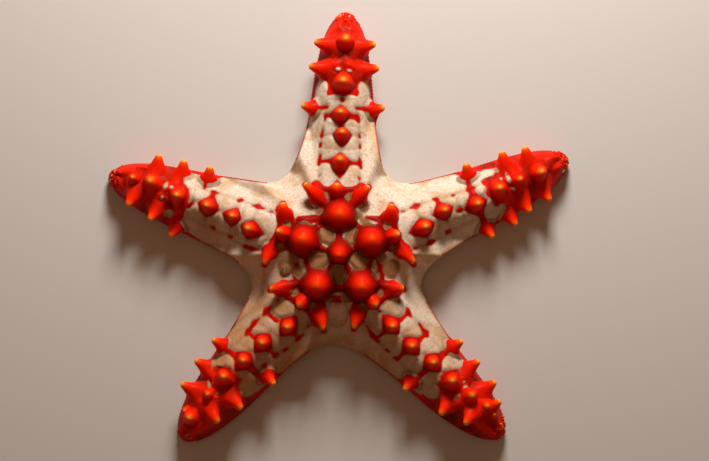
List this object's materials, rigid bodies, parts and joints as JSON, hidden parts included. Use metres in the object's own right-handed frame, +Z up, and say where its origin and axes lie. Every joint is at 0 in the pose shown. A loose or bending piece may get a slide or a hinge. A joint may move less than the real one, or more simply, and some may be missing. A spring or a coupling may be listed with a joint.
{
  "type": "red knob starfish",
  "caption": "Life-size red knob starfish at rest: domed disc, tapering arms with red knobs and side spines on cream skin, furrows with tube feet below.",
  "frame": {"origin": "middle of the animal's box in plan, at the floor that its flat underside rests on", "axes": "+Z up from the mouth side to the knobs, +Y along the arm that points straight up in the picture, +X to the picture's right, along the longest extent"},
  "size_m": [0.2012, 0.1882, 0.0359],
  "materials": {
    "red_skin": "glossy red skin of the disc's knobs and the arm tips",
    "cream_skin": "satin cream skin with a fine grain",
    "tan_skin": "matte tan jaws round the mouth"
  },
  "bodies": {
    "root": {"disc": "red_skin", "mouth": "tan_skin", "madreporite": "cream_skin", "arm_1": "cream_skin", "arm_2": "cream_skin", "arm_3": "cream_skin", "arm_4": "cream_skin", "arm_5": "cream_skin", "arm_tip_1": "red_skin", "arm_tip_2": "red_skin", "arm_tip_3": "red_skin", "arm_tip_4": "red_skin", "arm_tip_5": "red_skin"}
  },
  "joints": []
}
